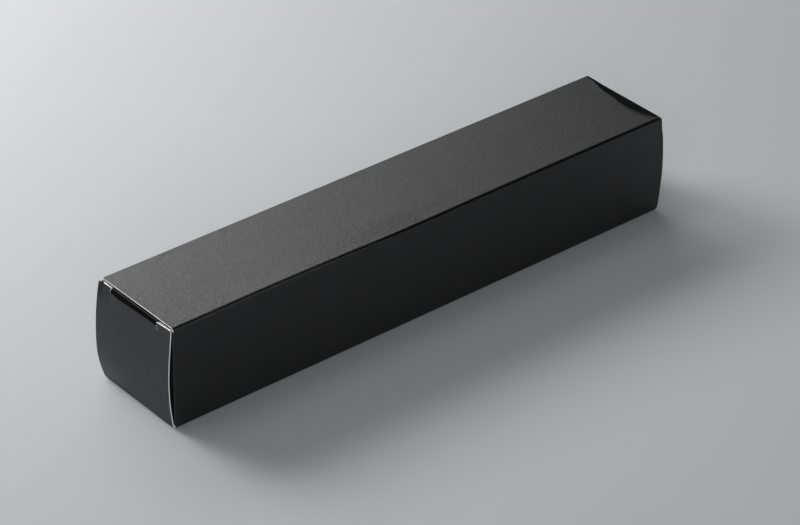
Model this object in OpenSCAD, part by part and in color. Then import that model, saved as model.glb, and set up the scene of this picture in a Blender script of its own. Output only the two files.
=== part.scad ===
// Long, narrow folding carton of the reverse tuck end kind, cut and creased
// from one sheet of board and glued along one long seam.
//
// The tube runs along X. At the near end (-X) the closing panel is hinged on
// the bottom panel and its tuck flap goes in under the top panel. At the far
// end (+X) it is the other way up: hinged on the top panel, tucked in over the
// bottom panel. Two dust flaps stand behind each closing panel.
//
// -Y is the front side, +Z is up, and z = 0 is the face it rests on.
// All sizes are millimetres.

/* [Carton] */
// Length of the tube, from one raw end to the other
tube_len = 193; // [120:1:320]
// Outside width, front panel to back panel
width = 35; // [32:0.5:60]
// Outside height, bottom panel to top panel
height = 35; // [32:0.5:60]

/* [Board] */
// Thickness of the board
board = 0.4; // [0.3:0.05:0.45]
// Outside radius where the board folds round a long edge
corner_r = 0.8; // [0.7:0.05:1]

/* [Closing panels] */
// Outward bow of the near closing panel, chord to crown
near_bow = 1.5; // [0.8:0.05:2.2]
// Outward bow of the far closing panel, chord to crown
far_bow = 1.6; // [0.8:0.05:2.2]
// Width of the slit lock shoulder at each end of a tuck crease
lock_w = 6; // [5:0.5:8]
// Depth of the short cut at the inner end of each lock shoulder
lock_cut = 1.8; // [1:0.1:3]

/* [Tuck flaps] */
// Length of a tuck flap, from its crease to its free edge
tuck_len = 12; // [9:0.5:12]
// Angle between a tuck flap and the panel it lies under
tuck_tilt = 14; // [12:0.5:16]
// Radius of a tuck flap's two free corners
tuck_corner = 5; // [2:0.5:6]

/* [Dust flaps] */
// Gap between the free ends of the two dust flaps of one end
dust_gap = 2.2; // [2:0.2:6]
// Rise of a dust flap's mitred edge for each millimetre of its length
dust_mitre = 1.05; // [1.02:0.01:1.1]
// Radius of a dust flap's free corner
dust_corner = 2.5; // [1:0.5:4]

/* [Glue seam] */
// Width of the glue flap inside the back panel
glue_w = 12; // [8:0.5:14]
// Thickness of the glue line
glue_line = 0.1; // [0.05:0.01:0.15]

/* [Hidden] */

$fn = 64;
arc_fn = 720;       // for the closing panels' large radius
eps = 1;            // overrun of a cutting tool

half_w = width / 2;
wall_in = half_w - board;                 // inner face of the front and back panels
glue_out = wall_in - glue_line;           // outer face of the glue flap
glue_cy = glue_out - corner_r;           // centre of the glue flap's fold
bot_y1 = glue_cy;                         // where the bottom panel meets that fold

// Each end is drawn in its own frame: x = 0 at the tube's raw end and +x into
// the tube, z = 0 at the outer face of the panel that carries the closure.
hinge_x = -0.5;     // closing panel's crease
hinge_z = 0.35;
tuck_x = -1.0;      // tuck flap's crease
tuck_z = height - 0.85;
crease_r = 0.3;     // thickened board along those creases
crease_gap = 0.04;  // between a crease and the panel that turns on it
plate_w = half_w - 0.3;                   // half width of a closing panel
lock_y = plate_w - lock_w;                // inner end of a lock shoulder
lock_top = height - 0.5;                  // raw top edge of a lock shoulder
mid_top = tuck_z - 0.55;                  // where the closing panel meets its tuck crease

dust_x = 0.2;       // dust flap's crease
dust_r = 0.38;
dust_s0 = 0.42;     // a dust flap starts this far from its axis
tuck_low = tuck_z - tuck_len * sin(tuck_tilt) - board / 2 * cos(tuck_tilt);
dust_top = tuck_low - 0.25;
dust_reach = min(half_w - board - dust_gap / 2, 0.66 * (height - 10));
function dust_low(s) = 0.9 + dust_mitre * s;

// The closing panel is an arc through both of its creases.
chord = sqrt(pow(tuck_x - hinge_x, 2) + pow(tuck_z - hinge_z, 2));
function arc_r(bow) = (chord * chord / 4 + bow * bow) / (2 * bow);
function arc_cx(bow) = (hinge_x + tuck_x) / 2 + (tuck_z - hinge_z) / chord * (arc_r(bow) - bow);
function arc_cz(bow) = (hinge_z + tuck_z) / 2 - (tuck_x - hinge_x) / chord * (arc_r(bow) - bow);
function stands_out(bow) = arc_r(bow) + board / 2 - arc_cx(bow);

// The tube sits so that the whole carton, closing panels included, is centred.
x_n = stands_out(near_bow) - (tube_len + stands_out(near_bow) + stands_out(far_bow)) / 2;
x_f = x_n + tube_len;

outside = "#1c1d20";
fold = "#111214";
inside = "#8f8e89";
glue = "#cfc9b4";

module at_near() { translate([x_n, 0, 0]) children(); }
module at_far() { translate([x_f, 0, height]) rotate([0, 180, 0]) children(); }

// ---- tube --------------------------------------------------------------

// Quarter round of board along the tube, centred at (cy, cz)
module fold_along(cy, cz, sy, sz, x0, x1) {
  intersection() {
    translate([x0, cy, cz]) rotate([0, 90, 0])
      difference() {
        cylinder(h = x1 - x0, r = corner_r);
        translate([0, 0, -eps]) cylinder(h = x1 - x0 + 2 * eps, r = corner_r - board);
      }
    translate([x0 - eps, sy < 0 ? cy - corner_r - eps : cy, sz < 0 ? cz - corner_r - eps : cz])
      cube([x1 - x0 + 2 * eps, corner_r + eps, corner_r + eps]);
  }
}

module bottom_panel() {
  color(outside)
    translate([x_n, -half_w + corner_r, 0])
      cube([tube_len, bot_y1 + half_w - corner_r, board]);
}

module top_panel() {
  color(outside)
    translate([x_n, -half_w + corner_r, height - board])
      cube([tube_len, width - 2 * corner_r, board]);
}

module front_panel() {
  color(outside)
    translate([x_n + dust_x + dust_s0, -half_w, corner_r])
      cube([tube_len - 2 * (dust_x + dust_s0), board, height - 2 * corner_r]);
}

// Its lower edge is the raw edge of the seam.
module back_panel() {
  color(outside)
    translate([x_n + dust_x + dust_s0, wall_in, 0.5])
      cube([tube_len - 2 * (dust_x + dust_s0), board, height - corner_r - 0.5]);
}

module crease_bottom_front() {
  color(fold) fold_along(-half_w + corner_r, corner_r, -1, -1, x_n, x_f);
}

module crease_front_top() {
  color(fold) fold_along(-half_w + corner_r, height - corner_r, -1, 1, x_n, x_f);
}

module crease_top_back() {
  color(fold) fold_along(half_w - corner_r, height - corner_r, 1, 1, x_n, x_f);
}

module crease_glue_flap() {
  color(fold) fold_along(glue_cy, corner_r, 1, -1, x_n + 1, x_f - 1);
}

// Strip in the plane of the back panel with both ends cut at 45 degrees,
// inset by d on every side
module seam_strip(y, thick, d) {
  z0 = corner_r + d;
  z1 = corner_r + glue_w - d;
  translate([0, y, 0]) rotate([90, 0, 0]) translate([0, 0, -thick])
    linear_extrude(height = thick)
      polygon([
        [x_n + 1 + 2.4 * d, z0],
        [x_f - 1 - 2.4 * d, z0],
        [x_f - 1 - 2.4 * d - (z1 - z0), z1],
        [x_n + 1 + 2.4 * d + (z1 - z0), z1]
      ]);
}

module glue_flap() {
  color(inside) seam_strip(glue_out - board, board, 0);
}

module glue_strip() {
  color(glue) seam_strip(glue_out, glue_line, 1);
}

// ---- one end, in the end's own frame -----------------------------------

// Board along the closing panel's arc, between two heights
module arc_board(bow, y0, y1, z0, z1) {
  intersection() {
    translate([arc_cx(bow), y0, arc_cz(bow)]) rotate([-90, 0, 0])
      difference() {
        cylinder(h = y1 - y0, r = arc_r(bow) + board / 2, $fn = arc_fn);
        translate([0, 0, -eps])
          cylinder(h = y1 - y0 + 2 * eps, r = arc_r(bow) - board / 2, $fn = arc_fn);
      }
    translate([-8, y0 - eps, z0]) cube([9, y1 - y0 + 2 * eps, z1 - z0]);
  }
}

// Thickened board on a crease that runs across the carton
module cross_bead(x, z, r, y0, y1) {
  translate([x, y0, z]) rotate([-90, 0, 0]) cylinder(h = y1 - y0, r = r);
}

module closure_crease(y0, y1) {
  cross_bead(hinge_x, hinge_z, crease_r, y0, y1);
  translate([hinge_x, y0, 0]) cube([-hinge_x, y1 - y0, board]);
}

// Closing panel with a lock shoulder at both ends of its tuck crease
module closure_plate(bow) {
  difference() {
    arc_board(bow, -plate_w, plate_w, hinge_z, lock_top);
    cross_bead(hinge_x, hinge_z, crease_r + crease_gap, -half_w - eps, half_w + eps);
    translate([-8, -lock_y, mid_top]) cube([9, 2 * lock_y, 4]);
    for (s = [-1, 1])
      translate([-8, s * (lock_y - 0.15) - 0.15, lock_top - lock_cut]) cube([9, 0.3, lock_cut + 1]);
  }
}

module tuck_crease(bow) {
  cross_bead(tuck_x, tuck_z, crease_r, -lock_y + 0.4, lock_y - 0.4);
  arc_board(bow, -lock_y + 0.4, lock_y - 0.4, mid_top, tuck_z);
}

// Flap outline: x from the crease to the free edge, y across
module tuck_outline() {
  v0 = crease_r + crease_gap;
  v1 = 0.75;
  w = half_w - 1.2;
  difference() {
    union() {
      translate([v0, -lock_y + 0.5]) square([v1 - v0 + 0.1, 2 * lock_y - 1]);
      translate([v1, -w]) square([tuck_len - v1, 2 * w]);
    }
    for (s = [-1, 1])
      difference() {
        translate([tuck_len - tuck_corner, s > 0 ? w - tuck_corner : -w - eps])
          square([tuck_corner + eps, tuck_corner + eps]);
        translate([tuck_len - tuck_corner, s * (w - tuck_corner)]) circle(r = tuck_corner);
      }
  }
}

module tuck_plate() {
  translate([tuck_x, 0, tuck_z]) rotate([0, tuck_tilt, 0])
    translate([0, 0, -board / 2]) linear_extrude(height = board) tuck_outline();
}

// Front side; the back side is its mirror image.
module dust_bead() {
  translate([dust_x, -wall_in, 1]) cylinder(h = height - 2, r = dust_r);
}

module dust_plate() {
  translate([dust_x - board, -wall_in, 0]) rotate([90, 0, 90])
    linear_extrude(height = board)
      difference() {
        polygon([
          [dust_s0, dust_low(dust_s0)],
          [dust_reach, dust_low(dust_reach)],
          [dust_reach, dust_top],
          [dust_s0, dust_top]
        ]);
        difference() {
          translate([dust_reach - dust_corner, dust_top - dust_corner])
            square(dust_corner + eps);
          translate([dust_reach - dust_corner, dust_top - dust_corner]) circle(r = dust_corner);
        }
      }
}

// ---- near end ----------------------------------------------------------

module near_closure_crease() {
  color(fold) at_near() closure_crease(-half_w + corner_r, bot_y1);
}
module near_closure() { color(outside) at_near() closure_plate(near_bow); }
module near_tuck_crease() { color(fold) at_near() tuck_crease(near_bow); }
module near_tuck_flap() { color(outside) at_near() tuck_plate(); }
module near_front_dust_crease() { color(fold) at_near() dust_bead(); }
module near_front_dust_flap() { color(outside) at_near() dust_plate(); }
module near_back_dust_crease() { color(fold) at_near() mirror([0, 1, 0]) dust_bead(); }
module near_back_dust_flap() { color(outside) at_near() mirror([0, 1, 0]) dust_plate(); }

// ---- far end -----------------------------------------------------------

module far_closure_crease() {
  color(fold) at_far() closure_crease(-half_w + corner_r, half_w - corner_r);
}
module far_closure() { color(outside) at_far() closure_plate(far_bow); }
module far_tuck_crease() { color(fold) at_far() tuck_crease(far_bow); }
module far_tuck_flap() { color(outside) at_far() tuck_plate(); }
module far_front_dust_crease() { color(fold) at_far() dust_bead(); }
module far_front_dust_flap() { color(outside) at_far() dust_plate(); }
module far_back_dust_crease() { color(fold) at_far() mirror([0, 1, 0]) dust_bead(); }
module far_back_dust_flap() { color(outside) at_far() mirror([0, 1, 0]) dust_plate(); }

bottom_panel();
front_panel();
top_panel();
back_panel();
glue_flap();
glue_strip();
crease_bottom_front();
crease_front_top();
crease_top_back();
crease_glue_flap();
near_closure_crease();
near_closure();
near_tuck_crease();
near_tuck_flap();
near_front_dust_crease();
near_front_dust_flap();
near_back_dust_crease();
near_back_dust_flap();
far_closure_crease();
far_closure();
far_tuck_crease();
far_tuck_flap();
far_front_dust_crease();
far_front_dust_flap();
far_back_dust_crease();
far_back_dust_flap();
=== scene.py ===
import math

import bpy
import numpy as np
from mathutils import Matrix, Vector

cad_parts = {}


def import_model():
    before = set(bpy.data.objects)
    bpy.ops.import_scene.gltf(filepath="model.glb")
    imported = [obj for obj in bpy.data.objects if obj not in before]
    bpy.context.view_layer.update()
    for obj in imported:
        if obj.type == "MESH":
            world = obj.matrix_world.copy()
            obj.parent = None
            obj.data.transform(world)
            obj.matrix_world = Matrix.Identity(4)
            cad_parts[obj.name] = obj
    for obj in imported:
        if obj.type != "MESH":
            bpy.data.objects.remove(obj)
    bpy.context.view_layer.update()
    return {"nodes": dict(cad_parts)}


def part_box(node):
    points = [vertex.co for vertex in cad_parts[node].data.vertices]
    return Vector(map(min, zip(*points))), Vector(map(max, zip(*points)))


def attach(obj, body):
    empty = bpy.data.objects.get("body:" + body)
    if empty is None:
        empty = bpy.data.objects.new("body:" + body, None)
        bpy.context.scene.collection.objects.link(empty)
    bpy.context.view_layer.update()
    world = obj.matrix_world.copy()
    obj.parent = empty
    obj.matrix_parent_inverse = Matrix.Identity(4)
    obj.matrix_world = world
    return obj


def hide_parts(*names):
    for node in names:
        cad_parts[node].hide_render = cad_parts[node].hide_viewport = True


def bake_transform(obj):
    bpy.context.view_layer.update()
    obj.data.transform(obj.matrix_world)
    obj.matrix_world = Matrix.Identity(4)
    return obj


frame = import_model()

# ---------------------------------------------------------------------------
# Sizes, in millimetres, read from the frame
# ---------------------------------------------------------------------------
lo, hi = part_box("top_panel")
XN, XF, H = lo.x * 1000, hi.x * 1000, hi.z * 1000
lo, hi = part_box("back_panel")
HW = hi.y * 1000                      # half of the outside width
T = 0.4                               # thickness of the board
R = 0.8                               # outside radius of a long fold
RF = 1.25                             # the front top fold reaches this far into its panels
YG = HW - T - 0.1 - R                 # centre of the glue flap's fold
DX = 0.62                             # where the side panels end, from the tube's end
TUCK = (-1.0, H - 0.85)               # tuck crease, in an end's own frame
TILT = math.radians(14)
DUST_TOP = 30.8
REACH = 16.5


def near(p):
    q = np.array(p, float)
    q[..., 0] = XN + q[..., 0]
    return q


def far(p):
    q = np.array(p, float)
    q[..., 0] = XF - q[..., 0]
    q[..., 2] = H - q[..., 2]
    return q


def world(p):
    return np.array(p, float)


def near_dir(n):
    return n


def far_dir(n):
    return n * np.array([-1.0, 1.0, -1.0])


def smooth(t):
    t = np.clip(t, 0, 1)
    return t * t * (3 - 2 * t)


def stack(*c):
    return np.stack(np.broadcast_arrays(*c), axis=-1)


def hermite(q, p0, t0, p1, t1):
    """Cubic from p0 to p1 with end tangents t0 and t1; each is a tuple of arrays."""
    a = 2 * q**3 - 3 * q**2 + 1
    b = q**3 - 2 * q**2 + q
    c = -2 * q**3 + 3 * q**2
    d = q**3 - q**2
    return tuple(a * p0[k] + b * t0[k] + c * p1[k] + d * t1[k] for k in range(len(p0)))


def through(knots):
    """A smooth curve through a few (position, value) pairs."""
    xs = np.array([k[0] for k in knots], float)
    ys = np.array([k[1] for k in knots], float)
    ms = np.gradient(ys, xs)

    def f(x):
        x = np.asarray(x, float)
        i = np.clip(np.searchsorted(xs, x) - 1, 0, len(xs) - 2)
        w = xs[i + 1] - xs[i]
        q = (x - xs[i]) / w
        q = np.clip(q, -0.5, 1.5)
        return (
            (2 * q**3 - 3 * q**2 + 1) * ys[i]
            + (q**3 - 2 * q**2 + q) * w * ms[i]
            + (-2 * q**3 + 3 * q**2) * ys[i + 1]
            + (q**3 - q**2) * w * ms[i + 1]
        )

    return f


# ---------------------------------------------------------------------------
# Materials
# ---------------------------------------------------------------------------
class Mat:
    """A small helper that lays down shader nodes and wires them."""

    def __init__(self, name):
        self.m = bpy.data.materials.new(name)
        self.m.use_nodes = True
        self.t = self.m.node_tree
        self.t.nodes.clear()
        self.out = self.t.nodes.new("ShaderNodeOutputMaterial")
        self.b = self.t.nodes.new("ShaderNodeBsdfPrincipled")
        self.t.links.new(self.b.outputs[0], self.out.inputs[0])
        self.co = self.t.nodes.new("ShaderNodeTexCoord").outputs["Object"]

    def node(self, kind, **props):
        n = self.t.nodes.new(kind)
        for k, v in props.items():
            setattr(n, k, v)
        return n

    def link(self, a, b):
        self.t.links.new(a, b)

    def noise(self, scale, detail=3.0, rough=0.55, stretch=(1, 1, 1)):
        mp = self.node("ShaderNodeMapping")
        mp.inputs["Scale"].default_value = stretch
        self.link(self.co, mp.inputs["Vector"])
        n = self.node("ShaderNodeTexNoise")
        n.inputs["Scale"].default_value = scale
        n.inputs["Detail"].default_value = detail
        n.inputs["Roughness"].default_value = rough
        self.link(mp.outputs[0], n.inputs["Vector"])
        return n.outputs["Fac"]

    def ramp(self, fac, stops):
        r = self.node("ShaderNodeValToRGB")
        e = r.color_ramp.elements
        e[0].position, e[0].color = stops[0][0], (*stops[0][1], 1)
        e[1].position, e[1].color = stops[-1][0], (*stops[-1][1], 1)
        for p, c in stops[1:-1]:
            s = e.new(p)
            s.color = (*c, 1)
        self.link(fac, r.inputs[0])
        return r.outputs[0]

    def span(self, fac, a, b, lo=0.25, hi=0.75):
        r = self.node("ShaderNodeMapRange")
        r.inputs["From Min"].default_value = lo
        r.inputs["From Max"].default_value = hi
        r.inputs["To Min"].default_value = a
        r.inputs["To Max"].default_value = b
        self.link(fac, r.inputs["Value"])
        return r.outputs[0]

    def bump(self, heights):
        """heights: (socket, depth in metres) pairs, coarse to fine."""
        last = None
        for h, depth in heights:
            n = self.node("ShaderNodeBump")
            n.inputs["Strength"].default_value = 1.0
            n.inputs["Distance"].default_value = depth
            self.link(h, n.inputs["Height"])
            if last is not None:
                self.link(last, n.inputs["Normal"])
            last = n.outputs[0]
        self.link(last, self.b.inputs["Normal"])


def black_print(name, dark, light, rough_lo, rough_hi, spec, grain):
    """Matt black print on board: fine fibre grain, faint mottle in its gloss."""
    k = Mat(name)
    fine = k.noise(2600, 3.0, 0.6)
    fibre = k.noise(1500, 2.0, 0.6, (0.8, 1.0, 1.0))
    flock = k.noise(520, 2.0, 0.5, (0.85, 1.0, 1.0))
    mottle = k.noise(120, 3.0, 0.6)
    wide = k.noise(22, 2.0, 0.5)
    k.link(k.ramp(mottle, [(0.3, dark), (0.72, light)]), k.b.inputs["Base Color"])
    add = k.node("ShaderNodeMath", operation="ADD")
    k.link(k.span(fibre, rough_lo, rough_hi), add.inputs[0])
    k.link(k.span(wide, -0.012, 0.012), add.inputs[1])
    cloud = k.noise(340, 2.0, 0.5)
    both = k.node("ShaderNodeMath", operation="ADD")
    k.link(add.outputs[0], both.inputs[0])
    k.link(k.span(cloud, -0.018, 0.018, 0.35, 0.65), both.inputs[1])
    k.link(both.outputs[0], k.b.inputs["Roughness"])
    k.b.inputs["Specular IOR Level"].default_value = spec
    k.bump([(flock, 0.00005 * grain), (fibre, 0.00008 * grain), (fine, 0.00006 * grain)])
    return k.m


def paper(name, low, high, speck, rough, spec=0.3):
    """Bare board: fibres, faint clouds and a few darker specks."""
    k = Mat(name)
    cloud = k.noise(90, 4.0, 0.6)
    fibre = k.noise(1500, 5.0, 0.7, (0.3, 1.0, 1.0))
    spots = k.noise(700, 2.0, 0.4)
    base = k.ramp(cloud, [(0.3, low), (0.7, high)])
    mix = k.node("ShaderNodeMix", data_type="RGBA", blend_type="MULTIPLY")
    mix.inputs["Factor"].default_value = 1.0
    k.link(base, mix.inputs["A"])
    k.link(k.ramp(spots, [(0.24, speck), (0.34, (1, 1, 1))]), mix.inputs["B"])
    k.link(mix.outputs["Result"], k.b.inputs["Base Color"])
    k.link(k.span(fibre, rough - 0.05, rough + 0.05), k.b.inputs["Roughness"])
    k.b.inputs["Specular IOR Level"].default_value = spec
    k.bump([(cloud, 0.000012), (fibre, 0.00001)])
    return k.m


BLACK = black_print("black_print", (0.0064, 0.0064, 0.0067), (0.0095, 0.0095, 0.0100), 0.38, 0.46, 0.5, 0.8)
# Painted shade: a darker, glossless black laid on folds and gaps that lie in shade.
PAINTED_SHADE = black_print("black_print_fold", (0.005, 0.005, 0.0053), (0.008, 0.008, 0.0085), 0.50, 0.60, 0.0, 0.5)
# Painted shade: step by step the print loses its gloss towards the bend at the far end, standing in for the darkening
# there.
SHADE_STEPS = [black_print(f"black_print_fade_{k + 1}", (0.0064 + 0.0005 * k, 0.0064 + 0.0005 * k, 0.0067 + 0.0005 * k),
                    (0.0095 + 0.0008 * k, 0.0095 + 0.0008 * k, 0.0100 + 0.0008 * k),
                    0.40 + 0.02 * k, 0.48 + 0.02 * k, (0.4, 0.29, 0.18, 0.09)[k], 0.7) for k in range(4)]
# Painted highlight: a lighter black for strips that catch the light.
PAINTED_HIGHLIGHT = black_print("black_print_worn", (0.030, 0.030, 0.0305), (0.041, 0.041, 0.042), 0.38, 0.46, 0.5, 0.8)
# Painted shade: a glossless black for the dark bend at the far end.
BEND_SHADE = black_print("black_print_far_bend", (0.0075, 0.0075, 0.0078), (0.0112, 0.0112, 0.0116), 0.50, 0.60, 0.0, 0.5)
BACK = paper("board_back", (0.62, 0.61, 0.58), (0.70, 0.69, 0.66), (0.8, 0.79, 0.76), 0.85)
CUT = paper("board_cut_edge", (0.90, 0.90, 0.89), (0.96, 0.96, 0.95), (0.94, 0.94, 0.93), 0.9)
MATS = [BLACK, BACK, CUT, PAINTED_SHADE, SHADE_STEPS[2], PAINTED_HIGHLIGHT, BEND_SHADE, SHADE_STEPS[0], SHADE_STEPS[1], SHADE_STEPS[3]]


def glue_material():
    k = Mat("dried_glue")
    n = k.noise(260, 4.0, 0.6)
    k.link(k.ramp(n, [(0.3, (0.55, 0.50, 0.38)), (0.7, (0.68, 0.63, 0.50))]), k.b.inputs["Base Color"])
    k.link(k.span(n, 0.3, 0.5), k.b.inputs["Roughness"])
    k.bump([(n, 0.00001)])
    return k.m


# ---------------------------------------------------------------------------
# Board pieces: every one is a closed solid between an outer face, given as a
# function of two parameters, and an inner face one thickness below it.
# ---------------------------------------------------------------------------
def board(name, f, us, vs, outward, node, body, place=world, flip=None, t=T,
          mask=None, joints=(), face=0, blend=None, pressed=None, face_at=None):
    us, vs = np.asarray(us, float), np.asarray(vs, float)
    U, V = np.meshgrid(us, vs, indexing="ij")
    h = 1e-3
    P = f(U, V)
    N = np.cross(f(U + h, V) - f(U - h, V), f(U, V + h) - f(U, V - h))
    N /= np.maximum(np.linalg.norm(N, axis=-1, keepdims=True), 1e-12)
    mid = N[N.shape[0] // 2, N.shape[1] // 2]
    turned = float(np.dot(mid, outward)) < 0
    if turned:
        N = -N
    I = P - t * N
    turn = flip if flip is not None else (lambda n: n)
    PW, IW, NW = place(P), place(I), turn(N)
    n_u, n_v = U.shape
    idx = lambda i, j: i * n_v + j
    off = n_u * n_v
    on = np.ones((n_u - 1, n_v - 1), bool) if mask is None else mask(
        (us[:-1] + us[1:])[:, None] / 2 + 0 * vs[None, :-1],
        (vs[:-1] + vs[1:])[None, :] / 2 + 0 * us[:-1, None])
    faces, kinds = [], []
    for i in range(n_u - 1):
        for j in range(n_v - 1):
            if not on[i, j]:
                continue
            q = [(i, j), (i + 1, j), (i + 1, j + 1), (i, j + 1)]
            tags = ["v0", "u1", "v1", "u0"]
            beside = [(i, j - 1), (i + 1, j), (i, j + 1), (i - 1, j)]
            ring = [idx(*c) for c in q]
            faces.append(ring[::-1] if turned else ring)
            kinds.append("out" + (str(face_at((us[i] + us[i + 1]) / 2, (vs[j] + vs[j + 1]) / 2)) if face_at else ""))
            inner = [r + off for r in ring]
            faces.append(inner if turned else inner[::-1])
            kinds.append("in")
            for e in range(4):
                bi, bj = beside[e]
                inside = 0 <= bi < n_u - 1 and 0 <= bj < n_v - 1
                if inside and on[bi, bj]:
                    continue
                a, b = ring[e], ring[(e + 1) % 4]
                quad = [b, a, a + off, b + off]
                faces.append(quad[::-1] if turned else quad)
                kinds.append(tags[e] if not inside else "notch")
                # Cut edges picked by this test take material 3, a dark black, instead of the cut colour.
                if pressed and not inside and pressed(tags[e], us[i], vs[j]):
                    kinds[-1] = "pressed"
    verts = np.concatenate([PW.reshape(-1, 3), IW.reshape(-1, 3)]) / 1000
    used = np.zeros(len(verts), bool)
    for fc in faces:
        used[fc] = True
    new = np.cumsum(used) - 1
    mesh = bpy.data.meshes.new(name)
    mesh.from_pydata([tuple(v) for v in verts[used]], [], [[int(new[v]) for v in fc] for fc in faces])
    for m in MATS:
        mesh.materials.append(m)
    NF = NW.reshape(-1, 3)
    loops = []
    for p, fc, kind in zip(mesh.polygons, faces, kinds):
        p.use_smooth = True
        if kind[0] == "o":
            p.material_index = int(kind[3:] or face)
            loops += [tuple(NF[v]) for v in fc]
        elif kind == "in":
            p.material_index = 1
            loops += [tuple(-NF[v - off]) for v in fc]
        else:
            p.material_index = 3 if kind == "pressed" else face if kind in joints else 2
            loops += [tuple(p.normal)] * 4
    mesh.update()
    mesh.normals_split_custom_set(loops)
    mesh.validate()
    o = bpy.data.objects.new(name, mesh)
    bpy.context.scene.collection.objects.link(o)
    if blend:
        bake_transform(o)
    else:
        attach(o, body)
    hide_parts(node)
    return o


# ---------------------------------------------------------------------------
# Tube
# ---------------------------------------------------------------------------
def line(a, b, step):
    return np.linspace(a, b, max(2, int(round(abs(b - a) / step)) + 1))


def runs(*parts):
    out = parts[0]
    for p in parts[1:]:
        out = np.concatenate([out, p[1:]])
    return out


def along(x0, x1):
    return runs(line(x0, XN + 8, 0.5), line(XN + 8, XF - 9, 3.0), line(XF - 9, x1, 0.25))


def wave(x, k):
    """Slow, slight waviness of a long panel."""
    return 0.55 * np.sin(x / 31.0 + 1.3 * k) + 0.45 * np.sin(x / 17.0 + 2.1 * k + 0.6)


def calm(x, d=14.0):
    """1 along the tube, 0 at its ends."""
    return smooth((x - XN) / d) * smooth((XF - x) / d)


# The front top crease isn't dead straight: it rises and sinks a little.
crease_line = through([(-97, 0.0), (-85, 0.0), (-72, 0.13), (-54, 0.14), (-35, -0.02), (-16, -0.22),
                       (2, -0.19), (22, -0.04), (45, 0.0), (70, 0.02), (97, 0.0)])
# The fold is soft near the near end and tighter further along.
fold_radius = through([(-97, 1.0), (-80, 1.03), (-50, 1.0), (-32, 0.88), (-15, 0.7), (10, 0.7), (40, 0.8), (97, 0.85)])

# At the far end the top panel bends down a little before its crease. The bend
# is narrow at the back corner and widest towards the front.
RC = 0.9                              # outside radius of the crease itself
RAMP = 0.5
dip_width = through([(-18, 0.2), (-16.7, 1.1), (-14.5, 2.7), (-10.7, 4.3), (-6.6, 5.1), (-1.9, 4.7), (2.75, 3.95),
                     (7.4, 3.3), (11.2, 1.7), (13.2, 0.8), (14.8, 0.5), (18, 0.4)])


def dip_angle(y):
    return math.radians(12) * smooth((13.6 - y) / 4.0) * smooth((y + 18.6) / 3.0)


def fallen(y, t):
    """How far the panel has come down, t mm into the bend."""
    t = np.maximum(t, 0.0)
    return np.tan(dip_angle(y)) * (t - RAMP * (1 - np.exp(-t / RAMP)))


def dip_over(y):
    """How far the bent part reaches beyond the tube's end, before the crease turns down."""
    return 0.106 + 1.236 * fallen(y, dip_width(y))


def dip_back(y):
    """Where the bend starts, from the tube's end inwards."""
    return np.maximum(dip_width(y) - dip_over(y), 0.0)


def dip(x, y):
    """How far the top panel has come down at x, just before the far end."""
    return fallen(y, x - (XF - dip_back(y)))


def dark_from(y):
    """Where the painted shade on the bent part of the top panel begins, from the tube's end inwards."""
    return np.hypot(np.maximum(dip_back(y) - 0.45, 0.0), 0.33)


def top_face(x, y):
    q = (y + HW) / (2 * HW)
    z = H + 0.05 * np.sin(np.pi * np.clip(q, 0, 1)) ** 2 * wave(x, 0.2) * calm(x)
    z = z + 0.12 * np.sin(np.pi * np.clip(q, 0, 1)) * (1 - smooth((x - XN) / 30.0))
    z = z + crease_line(x) * (1 - smooth((y + HW) / 9.0))
    return stack(x, y, z - dip(x, y))


def bottom_face(x, y):
    q = (y + HW - R) / (YG + HW - R)
    return stack(x, y, 0.05 * np.sin(np.pi * np.clip(q, 0, 1)) ** 2 * (1 + wave(x, 3.1)) * calm(x))


def front_face(x, z):
    q = (z - R) / (H - 2 * R)
    y = -HW - 0.06 * np.sin(np.pi * np.clip(q, 0, 1)) ** 2 * (wave(x, 1.4) - 0.2) * calm(x)
    return stack(x, y, z + crease_line(x) * smooth((z - 20.0) / (H - RF - 20.0)))


def back_face(x, z):
    q = (z - 0.5) / (H - R - 0.5)
    y = HW + 0.05 * np.sin(np.pi * np.clip(q, 0, 1)) ** 2 * (0.5 + 0.5 * wave(x, 4.4)) * calm(x)
    return stack(x, y, z)


def fold_face(cy, cz, a0, a1):
    def f(x, q):
        a = np.radians(a0 + (a1 - a0) * q)
        y = cy + R * np.cos(a)
        z = cz + R * np.sin(a)
        lift = dip(x, y) * np.clip(np.sin(a), 0, 1) if cz > H / 2 else 0.0
        return stack(x, y, z - lift)
    return f


def front_top_fold(x, q):
    """From the front panel (q = 0) round to the top panel (q = 1)."""
    r = fold_radius(x)
    straight = RF - r
    arc = r * math.pi / 2
    s = q * (2 * straight + arc)
    a = np.clip((s - straight) / arc, 0, 1) * math.pi / 2
    y = -HW + r * (1 - np.cos(a)) + np.clip(s - straight - arc, 0, None)
    z = H - RF + np.clip(s, None, straight) + r * np.sin(a)
    share = np.sin(a)
    edge = front_face(x, np.full_like(z, H - RF))
    top = top_face(x, y)
    y = y + (edge[..., 1] + HW) * (1 - share)
    z = z + (edge[..., 2] - (H - RF)) * (1 - share) + (top[..., 2] - H) * share
    return stack(x, y, z)


def glue_face(x, z):
    return stack(x, HW - T - 0.1, z)


YE = HW - R


# How far in front of the bend the painted shade steps begin.
shade_lead = through([(-18, 2.6), (-14, 2.5), (-10, 2.2), (-6, 1.7), (-3, 1.2), (3, 0.7), (9, 0.4), (18, 0.3)])


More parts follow.
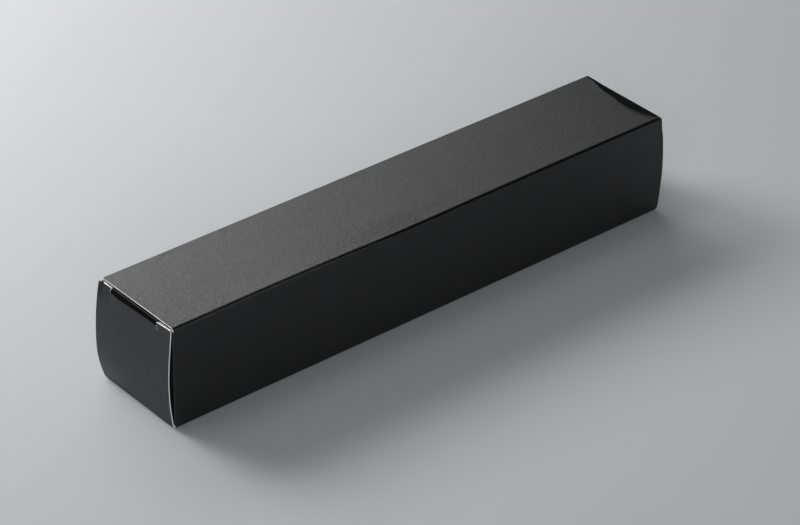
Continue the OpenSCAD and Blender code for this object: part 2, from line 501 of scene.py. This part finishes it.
def top_sheet(u, y):
    """The top panel, its last lines across bent to follow the start of the bend, where the painted shade steps and the
    bend's painted shade begin.
    """
    x_b = XF - dark_from(y)
    x_s = x_b - shade_lead(y)
    a = XF - 8 + (u - (XF - 8)) / 6.0 * (x_s - (XF - 8))
    b = x_s + (u - (XF - 2)) * (x_b - x_s)
    c = x_b + (u - (XF - 1)) * (XF - x_b)
    x = np.where(u < XF - 8, u, np.where(u < XF - 2, a, np.where(u < XF - 1, b, c)))
    return top_face(x, y)


# Painted shade on the top panel's far end: the bend's painted shade (6) from where it begins to the end, and four
# painted shade steps (7, 8, 4, 9) before it.
def top_kind(u, y):
    if u < XF - 2:
        return 0
    if u > XF - 1:
        return 6
    return (7, 8, 4, 9)[min(3, int((u - (XF - 2)) * 4))]


board("top_panel_board", top_sheet, along(XN, XF), line(-HW + RF, YE, 0.8), (0, 0, 1), "top_panel", "tube",
      joints=("v0", "v1", "u1"), face_at=top_kind)
board("bottom_panel_board", bottom_face, along(XN, XF), line(-YE, YG, 1.7), (0, 0, -1), "bottom_panel", "tube",
      joints=("v0", "v1", "u0"))
board("front_panel_board", front_face, along(XN + DX, XF - DX), line(R, H - RF, 1.6), (0, -1, 0), "front_panel", "tube",
      joints=("v0", "v1", "u0", "u1"))
board("back_panel_board", back_face, along(XN + DX, XF - DX), line(0.5, H - R, 1.6), (0, 1, 0), "back_panel", "tube",
      joints=("v1", "u0", "u1"))
Q9 = np.linspace(0, 1, 13)
board("crease_bottom_front_board", fold_face(-YE, R, 270, 180), along(XN, XF), Q9, (0, -1, -1),
      "crease_bottom_front", "tube", joints=("v0", "v1"))


# Where round the fold, in degrees up from the front, the painted shade band starts and ends.
band_low = through([(-97, 40), (-70, 41), (-38, 37), (-24, 24), (-12, 6), (12, 4), (30, 14), (50, 22), (97, 24)])
band_high = through([(-97, 54), (-70, 54), (-38, 54), (-24, 54), (-12, 53), (12, 53), (30, 56), (50, 60), (97, 60)])


def worn(x, q):
    """Painted shade: a dark glossless band runs along the fold. Below it, a painted highlight near the near end, and a
    painted shade step further from it.
    """
    r = fold_radius(x)
    straight, arc = RF - r, r * math.pi / 2
    a = (q * (2 * straight + arc) - straight) / arc * 90
    low = band_low(x)
    if low < a < band_high(x):
        return 3
    if 4 < a <= low:
        return 5 if x < -14 else 4
    return 0


board("crease_front_top_board", front_top_fold, along(XN, XF), np.linspace(0, 1, 41), (0, -1, 1),
      "crease_front_top", "tube", joints=("v0", "v1", "u1"), face_at=worn)
board("crease_top_back_board", fold_face(YE, H - R, 90, 0), along(XN + 0.7, XF), Q9, (0, 1, 1),
      "crease_top_back", "tube", joints=("v0", "v1", "u0", "u1"))
board("crease_glue_flap_board", fold_face(YG, R, -90, 0), along(XN + 1, XF - 1), Q9, (0, 1, -1),
      "crease_glue_flap", "tube", joints=("v0", "v1"), face=3)


def glue_outline(u, z):
    cut = z - R
    return stack(XN + 1 + cut + u * (XF - XN - 2 - 2 * cut), HW - T - 0.1, z)


board("glue_flap_board", glue_outline, np.linspace(0, 1, 60), line(R, R + 12, 1.5), (0, 1, 0),
      "glue_flap", "tube", joints=("v0",))
frame["nodes"]["glue_strip"].data.materials.clear()
frame["nodes"]["glue_strip"].data.materials.append(glue_material())


# ---------------------------------------------------------------------------
# Closing panels
# ---------------------------------------------------------------------------
ZM = 33.0           # where its middle rolls over into the tuck flap
ZS = H - 0.6        # top of a lock shoulder


class End:
    def __init__(self, name, place, turn, y_front, y_back, out, lock_front, lock_back, slits):
        self.name, self.place, self.turn = name, place, turn
        self.y0, self.y1 = y_front, y_back
        self.out = out                  # how far the outer face stands out beyond the tube's end
        self.la, self.lb = lock_front, lock_back
        self.slits = slits              # width and depth of the front slit and the back slit

    def slope(self, y, z):
        return (self.out(y, z + 0.05) - self.out(y, z - 0.05)) / 0.1

    def panel(self, y, z):
        return stack(-self.out(y, z), y, z)


near_front_edge = through([(0, 0.5), (1.1, 0.78), (3.4, 1.16), (7.2, 1.65), (10.9, 1.93), (14.4, 2.04), (17.9, 2.05),
                           (21.4, 1.88), (24.8, 1.65), (28.1, 1.35), (31.4, 1.05), (35, 0.76)])
near_back_edge = through([(0, 0.4), (2.4, 1.13), (4.5, 1.75), (6.5, 2.24), (8.5, 2.63), (11.3, 2.95), (14.1, 3.08),
                          (17.6, 3.07), (21.1, 2.96), (24.5, 2.73), (27.9, 2.38), (31.2, 1.95), (33.6, 1.47), (35, 1.15)])


shoulder = through([(27, 2.42), (29, 2.1), (30.2, 1.87), (31.2, 1.64), (32.2, 1.37), (33.0, 1.13), (33.7, 0.94), (34.4, 0.8), (35, 0.72)])


def near_out(y, z):
    k = smooth((y + HW - 0.3) / (2 * HW - 0.7) * 0.92 + 0.04)
    d = near_front_edge(z) * (1 - k) + near_back_edge(z) * k
    # the back lock shoulder stands straighter up, with its outer corner pushed outward
    w = smooth((HW - 0.4 - y) / 1.9) * smooth((y - 8.0) / 3.5) * smooth((z - 27.5) / 4.5)
    d = d + w * (shoulder(z) - d)
    # the front one leans out a little towards its cut
    up = smooth((z - (H - 3.6)) / 3.1)
    front = smooth((y + HW - 0.3) / 6.3) * (1 - smooth((y + 10.8) / 2.5))
    return d + 0.34 * up * front


def crease_foot(y):
    """Where the far crease has turned all the way down: how far out, and how deep."""
    a = dip_angle(y)
    return dip_over(y) + RC * (1 - np.sin(a)), fallen(y, dip_width(y)) + RC * np.cos(a)


def far_out(y, z):
    edge, zt = crease_foot(y)
    mid, low = 2.85 + 0.0 * y, 1.55 + 0.0 * y
    mid = mid - 0.7 * smooth((y - 2.0) / 14.0)
    low = low - 0.4 * smooth((y - 2.0) / 14.0)
    rise = edge + (mid - edge) * smooth((z - zt) / (17.0 - zt))
    fall = mid + (low - mid) * (1 - np.cos(np.clip((z - 17.0) / 16.5, 0, 1.3) * math.pi / 2))
    return np.where(z < 17.0, rise, fall)


near_end = End("near", near, near_dir, -HW + 0.3, HW - 0.4, near_out, -10.8, 11.75, ((0.06, 3.0), (0.09, 1.3)))
far_end = End("far", far, far_dir, -HW + 1.3, HW - 0.35, far_out, -10.7, 11.7, ((0.1, 2.0), (0.1, 2.0)))


def closing(end, hinge_node_range, Z0, hinge_of):
    nm, body = end.name, end.name + "_closing_panel"
    la, lb = end.la, end.lb
    (ga, da), (gb, db) = end.slits
    ys = runs(line(end.y0, la - ga, 0.7), np.array([la - ga, la]), line(la, lb, 0.9),
              np.array([lb, lb + gb]), line(lb + gb, end.y1, 0.45))
    zs = runs(line(Z0, ZM - 3.0, 0.9), line(ZM - 3.0, ZM, 0.3), line(ZM, ZS, 0.2))

    def keep(y, z):
        middle = (y > la) & (y < lb) & (z > ZM)
        slit = ((y > la - ga) & (y < la) & (z > ZS - da)) | ((y > lb) & (y < lb + gb) & (z > ZS - db))
        return ~(middle | slit)

    # The closing panel's top cut edge beyond y = 15 mm takes material 3, a dark black, instead of the white cut colour.
    board(nm + "_closure_board", end.panel, ys, zs, (-1, 0, 0), nm + "_closure", body,
          place=end.place, flip=end.turn, mask=keep, joints=("v0",), t=0.36,
          pressed=lambda tag, y, z: tag == "v1" and y > 15.0)

    # Fold between the tube and the closing panel
    ya, yb = hinge_node_range

    def hinge(y, q):
        ye = end.y0 + (end.y1 - end.y0) * (y - ya) / (yb - ya)
        x, z = hinge_of(end, y, ye, q)
        return stack(x, y * (1 - smooth(q)) + ye * smooth(q), z)

    a = end.place(np.array([0.0, 0.0, 0.0])) / 1000
    b = end.place(np.array([-0.9 if Z0 < 1.5 else -1.5, 0.0, Z0 if Z0 < 1.5 else 1.6])) / 1000
    # At the far end most of this fold takes the bend's painted shade.
    board(nm + "_closure_crease_board", hinge, line(ya, yb, 0.8), np.linspace(0, 1, 11 if Z0 < 1.5 else 21), (-1, 0, -1),
          nm + "_closure_crease", body, place=end.place, flip=end.turn, joints=("v0", "v1"),
          face_at=lambda y, q: 6 if Z0 > 1.5 and q < 0.8 else 0, blend=("tube", body, a, b))

    # Tuck flap: its upper face leaves the roll where the tube begins.
    x_t, z_t = -0.45, TUCK[1]

    def upper(v):
        """Upper face of the tuck flap: x and z at v mm from the start of the flap."""
        first, rest = math.tan(math.radians(1)), math.tan(TILT) - math.tan(math.radians(1))
        return x_t + v * math.cos(TILT), z_t - first * v - rest * (v - 1.5 * (1 - np.exp(-v / 1.5)))

    def roll(y, q):
        x0, s0 = end.out(y, ZM), end.slope(y, ZM)
        m = 1.66 * (z_t - ZM)
        w = 1.66 * (x0 + x_t)
        x, z = hermite(q, (-x0, ZM + 0.0 * y), (-s0 * m, m + 0.0 * y),
                       (x_t + 0.0 * y, z_t + 0.0 * y), (w + 0.0 * y, -0.0175 * w))
        return stack(x, y, z)

    a = end.place(np.array([-0.9, 0.0, ZM])) / 1000
    b = end.place(np.array([0.0, 0.0, TUCK[1]])) / 1000
    # The near roll takes the painted shade material for its dark band.
    board(nm + "_tuck_crease_board", roll, line(la + 0.05, lb - 0.05, 0.9), np.linspace(0, 1, 13), (-1, 0, 1),
          nm + "_tuck_crease", body, place=end.place, flip=end.turn, joints=("v0", "v1"), face=3 if nm == "near" else 0,
          blend=(body, nm + "_tuck", a, b))

    w = HW - 1.2
    rc = 5.0
    last = 11.3

    def half(v):
        """Half width of the flap: its free corners are round."""
        d = np.clip(v - (last - rc), 0, rc)
        return w - (rc - np.sqrt(np.maximum(rc * rc - d * d, 0.0)))

    def tuck(v, c):
        x, z = upper(v)
        return stack(x, c * half(v), z)

    cs = runs(line(-1, la / w, 0.06), line(la / w, lb / w, 0.06), line(lb / w, 1, 0.06))
    is_near = nm == "near"

    def beside_slits(v, c):
        """Beyond the two cuts the flap starts a little further in, clear of the lock shoulders."""
        return ~((v < 0.45) & ((c < la / w) | (c > lb / w)))

    vs = runs(line(0.0, 0.45, 0.15), line(0.45, 1.35, 0.3), line(1.35, 6.0, 0.5), last - rc + rc * np.sin(np.linspace(0, math.pi / 2 * 0.985, 14)))
    # At the near end the flap's first 0.45 mm carries a painted highlight, and the next part, under the top panel's
    # edge, painted shade.
    board(nm + "_tuck_flap_board", tuck, vs, cs, (0, 0, 1), nm + "_tuck_flap", nm + "_tuck",
          place=end.place, flip=end.turn, joints=(), mask=beside_slits,
          face_at=lambda v, c: 5 if is_near and v < 0.45 else 3 if is_near and v < 1.35 else 0)


def near_hinge(end, y, ye, q):
    """A plain tight fold from the bottom panel into the closing panel."""
    x1, s1 = end.out(ye, 1.0), end.slope(ye, 1.0)
    m = 1.1 * np.hypot(x1, 1.0)
    n1 = np.hypot(1.0, s1)
    return hermite(q, (0.0 * y, 0.0 * y), (-m, 0.0 * y), (-x1, 1.0 + 0.0 * y), (-s1 * m / n1, m / n1))


FOOT = 2.2


def far_hinge(end, y, ye, q):
    """Down the last of the bend, round the crease and a little way down the end."""
    a0, w = dip_angle(y), dip_width(y)
    back, over = dip_back(y), dip_over(y)
    t = np.clip(q / 0.4, 0, 1)
    x = -t * over
    z = fallen(y, back + (w - back) * t)
    a = a0 + (math.pi / 2 - a0) * np.clip((q - 0.4) / 0.45, 0, 1)
    x = x - RC * (np.sin(a) - np.sin(a0))
    z = z + RC * (np.cos(a0) - np.cos(a))
    edge, zt = crease_foot(y)
    d = np.clip((q - 0.85) / 0.15, 0, 1)
    z = z + d * (FOOT - zt)
    x = x - d * d * (end.out(ye, FOOT + 0.0 * y) - edge)
    return x, z


closing(near_end, (-YE, YG), 1.0, near_hinge)
closing(far_end, (-YE, YE), FOOT, far_hinge)


# ---------------------------------------------------------------------------
# Dust flaps
# ---------------------------------------------------------------------------
def dust(end, side, lip, r=0.42, z_lo=1.2, z_hi=1.2, face=0):
    """side is -1 at the front and 1 at the back. lip(z) is how far the fold stands out past the tube's end."""
    where = "front" if side < 0 else "back"
    fold, flap = f"{end.name}_{where}_fold", f"{end.name}_{where}_dust"
    s1 = r + 0.35

    def crease(z, q):
        """Straight on from the side panel, a tight turn, then a little of the flap."""
        o = lip(z)
        straight = DX + o - r
        arc = r * math.pi / 2
        t = q * (straight + arc + s1 - r)
        a = np.clip((t - straight) / arc, 0, 1) * math.pi / 2
        x = DX - np.clip(t, None, straight) - r * np.sin(a)
        s = r * (1 - np.cos(a)) + np.clip(t - straight - arc, 0, None)
        lean = 0.35 * np.clip(s - r, 0, None) * np.clip((o - 0.2) / 2.0, 0, 1)
        # near its two ends the fold follows the rounding of the tube's long folds
        off = np.clip(R - np.minimum(z, H - z), 0, 0.95 * R)
        inset = (R - np.sqrt(R * R - off * off)) * (1 - a / (math.pi / 2))
        return stack(x + lean, side * (HW - s - inset), z)

    def plate(u, k):
        s = s1 + u * (REACH + 0.4 - s1)
        low = 0.9 + 1.05 * np.maximum(s - 0.4, 0.0)
        rc = 2.5
        d = np.clip(s - (REACH + 0.4 - rc), 0, rc)
        top = DUST_TOP - (rc - np.sqrt(np.maximum(rc * rc - d * d, 0.0)))
        z = low + k * (top - low)
        o = lip(z)
        bulge = (o - 0.2) * (1 - smooth((s - s1 + 0.4) / 9.0) * 1.0)
        x = -(0.2 + bulge) - 0.12 * np.sin(np.pi * np.clip(u, 0, 1)) * np.sin(np.pi * np.clip((z - 2) / 28, 0, 1))
        return stack(x, side * (HW - s), z)

    zs = line(1.2, H - 1.2, 1.1)
    if z_lo < 1.2:
        zs = runs(line(z_lo, 1.2, 0.15), zs)
    if z_hi < 1.2:
        zs = runs(zs, line(H - 1.2, H - z_hi, 0.15))
    qs = np.concatenate([np.linspace(0, 0.5, 8), np.linspace(0.55, 1, 14)])
    a = end.place(np.array([DX, side * HW, H / 2])) / 1000
    b = end.place(np.array([-0.2, side * (HW - s1), H / 2])) / 1000
    board(f"{end.name}_{where}_dust_crease_board", crease, zs, qs, (-1, side, 0),
          f"{end.name}_{where}_dust_crease", fold, place=end.place, flip=end.turn, joints=("u0", "u1", "v0", "v1"), face=face,
          blend=("tube", fold, a, b))
    us = runs(np.linspace(0, 0.3, 9), np.linspace(0.3, 0.84, 8), np.linspace(0.84, 0.998, 9))
    a = end.place(np.array([0.0, side * (HW - s1), H / 2])) / 1000
    b = end.place(np.array([0.0, side * (HW - 5.0), H / 2])) / 1000
    board(f"{end.name}_{where}_dust_flap_board", plate, us, np.linspace(0, 1, 25), (-1, 0, 0),
          f"{end.name}_{where}_dust_flap", flap, place=end.place, flip=end.turn, joints=("u0",),
          blend=(fold, flap, a, b))


slight = through([(0, 0.2), (8, 0.26), (20, 0.28), (30, 0.24), (35, 0.2)])
# In the far end's own frame z runs down from the top panel.
pushed = through([(0, 0.1), (0.2, 0.36), (0.5, 0.75), (0.9, 0.98), (2.1, 1.2), (3.2, 1.34), (5.2, 1.63), (7.2, 2.06), (9.1, 2.28), (13, 2.64),
                  (16.8, 2.82), (20.6, 2.88), (24.3, 2.71), (28, 2.45), (31.6, 2.05), (33.4, 1.8), (34.2, 1.55), (34.7, 1.05), (35, 0.6)])
dust(near_end, -1, slight)
dust(near_end, 1, slight)
dust(far_end, -1, pushed, z_lo=0.15, z_hi=0.3)
dust(far_end, 1, slight)


# ---------------------------------------------------------------------------
# Floor, light, camera
# ---------------------------------------------------------------------------
def floor():
    n = 48
    size = 6.0
    vs, fs = [], []
    for i in range(n + 1):
        for j in range(n + 1):
            vs.append(((i / n - 0.5) * size, (j / n - 0.5) * size, -0.00006))
    for i in range(n):
        for j in range(n):
            a = i * (n + 1) + j
            fs.append((a, a + n + 1, a + n + 2, a + 1))
    me = bpy.data.meshes.new("floor")
    me.from_pydata(vs, [], fs)
    o = bpy.data.objects.new("floor", me)
    bpy.context.scene.collection.objects.link(o)
    k = Mat("floor_paper")
    c = k.noise(3.0, 3.0, 0.5)
    k.link(k.ramp(c, [(0.3, (0.46, 0.47, 0.49)), (0.7, (0.48, 0.49, 0.51))]), k.b.inputs["Base Color"])
    k.b.inputs["Roughness"].default_value = 0.9
    k.b.inputs["Specular IOR Level"].default_value = 0.1
    me.materials.append(k.m)


def area(name, at, aim, size_x, size_y, power, colour):
    d = bpy.data.lights.new(name, "AREA")
    d.shape = "RECTANGLE"
    d.size, d.size_y = size_x, size_y
    d.energy = power
    d.color = colour
    o = bpy.data.objects.new(name, d)
    bpy.context.scene.collection.objects.link(o)
    o.location = at
    o.rotation_mode = "QUATERNION"
    o.rotation_quaternion = (Vector(aim) - Vector(at)).to_track_quat("-Z", "Y")
    return o


floor()
area("key", (-0.12, 0.80, 0.60), (-0.09, 0.0, 0.03), 0.50, 0.45, 3.4, (1.0, 1.0, 1.0))
area("key_left", (-0.30, 0.62, 0.46), (-0.09, 0.0, 0.03), 0.35, 0.30, 1.75, (1.0, 1.0, 1.0))
area("key_near", (-0.16, 0.36, 0.26), (-0.09, 0.0, 0.03), 0.20, 0.15, 0.80, (1.0, 1.0, 1.0))
area("key_middle", (0.10, 0.42, 0.32), (-0.06, 0.0, 0.03), 0.20, 0.16, 0.24, (1.0, 1.0, 1.0))
area("key_far", (0.40, 0.75, 0.62), (0.0, 0.0, 0.03), 0.50, 0.45, 1.85, (1.0, 1.0, 1.0))
area("fill", (-0.95, -1.05, 0.75), (0.0, 0.0, 0.03), 0.9, 0.7, 7.2, (1.0, 1.0, 1.0))
area("above", (-0.5, 0.3, 1.25), (-0.1, 0.0, 0.03), 0.6, 0.6, 2.5, (1.0, 1.0, 1.0))

w = bpy.data.worlds.new("studio")
bpy.context.scene.world = w
w.use_nodes = True
bg = w.node_tree.nodes["Background"]
bg.inputs[0].default_value = (0.95, 0.98, 1.0, 1)
bg.inputs[1].default_value = 0.11

cam = bpy.data.cameras.new("camera")
cam_o = bpy.data.objects.new("camera", cam)
bpy.context.scene.collection.objects.link(cam_o)
cam.sensor_width = 36.0
cam.lens = 141.101
cam.clip_start, cam.clip_end = 0.05, 20
right = Vector((0.764289, -0.644642, 0.017289))
up = Vector((0.337566, 0.422774, 0.841018))
back = Vector((-0.549465, -0.636945, 0.540731))
m = Matrix((right, up, back)).transposed().to_4x4()
m.translation = Vector((-0.531459 + (XN + XF) / 2000, -0.619928, 0.535018))
cam_o.matrix_world = m
bpy.context.scene.camera = cam_o
bpy.context.scene.view_settings.view_transform = "Standard"
bpy.context.scene.view_settings.look = "None"
